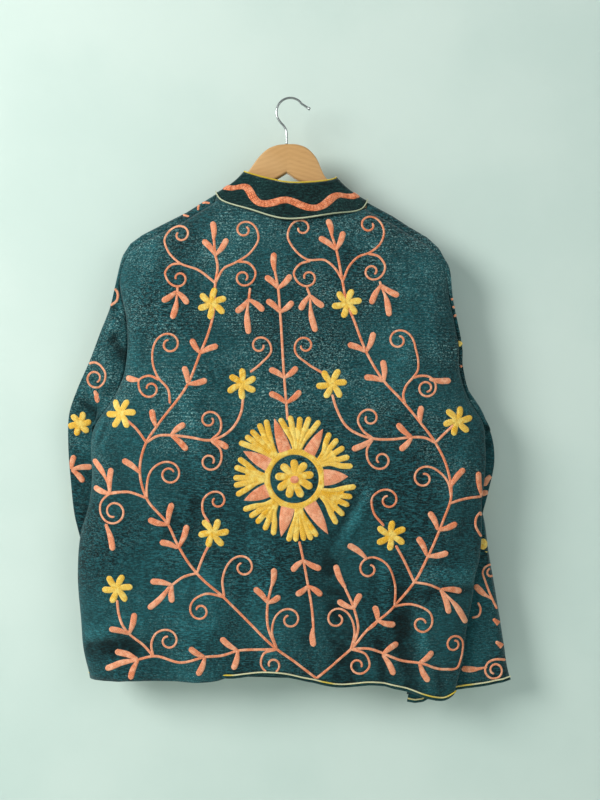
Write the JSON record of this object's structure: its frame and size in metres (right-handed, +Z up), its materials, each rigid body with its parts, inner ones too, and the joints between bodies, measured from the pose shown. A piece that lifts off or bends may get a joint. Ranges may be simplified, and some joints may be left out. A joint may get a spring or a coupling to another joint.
{
  "type": "embroidered jacket on hanger",
  "caption": "Boxy open-front handloom cotton jacket with chain-stitch flowers and scrolls, a band collar and long sleeves, hanging on a wooden hanger.",
  "frame": {"origin": "inner top of the hook's bend, where a wall hook or rail holds it", "axes": "+Z up, +X to the right as the jacket's back is seen, +Y from the back panel towards the fronts and the wall"},
  "size_m": [0.6678, 0.0844, 0.905],
  "materials": {
    "jacket_cloth": "dark teal slubby handloom cotton, plain weave, with raised coral and yellow chain stitch",
    "binding": "dark teal cotton edge binding",
    "cream_piping": "thin cream and yellow corded piping",
    "yellow_piping": "thin yellow corded piping",
    "hanger_wood": "light varnished wood",
    "hook_wire": "bright chrome-plated steel wire"
  },
  "bodies": {
    "root": {"back_panel": "jacket_cloth", "front_left": "jacket_cloth", "front_right": "jacket_cloth", "sleeve_left": "jacket_cloth", "sleeve_right": "jacket_cloth", "collar": "jacket_cloth", "collar_edge_piping": "yellow_piping", "collar_seam_piping": "cream_piping", "back_hem_binding": "binding", "back_hem_piping": "cream_piping", "front_left_hem_binding": "binding", "front_left_hem_piping": "cream_piping", "front_left_edge_binding": "binding", "front_left_edge_piping": "cream_piping", "front_right_hem_binding": "binding", "front_right_hem_piping": "cream_piping", "front_right_fold_hem_binding": "binding", "front_right_fold_hem_piping": "cream_piping", "front_right_edge_binding": "binding", "front_right_edge_piping": "cream_piping", "sleeve_left_cuff_binding": "binding", "sleeve_left_cuff_piping": "cream_piping", "sleeve_right_cuff_binding": "binding", "sleeve_right_cuff_piping": "cream_piping", "hanger_arm_left": "hanger_wood", "hanger_arm_right": "hanger_wood", "hanger_hook": "hook_wire"}
  },
  "joints": []
}
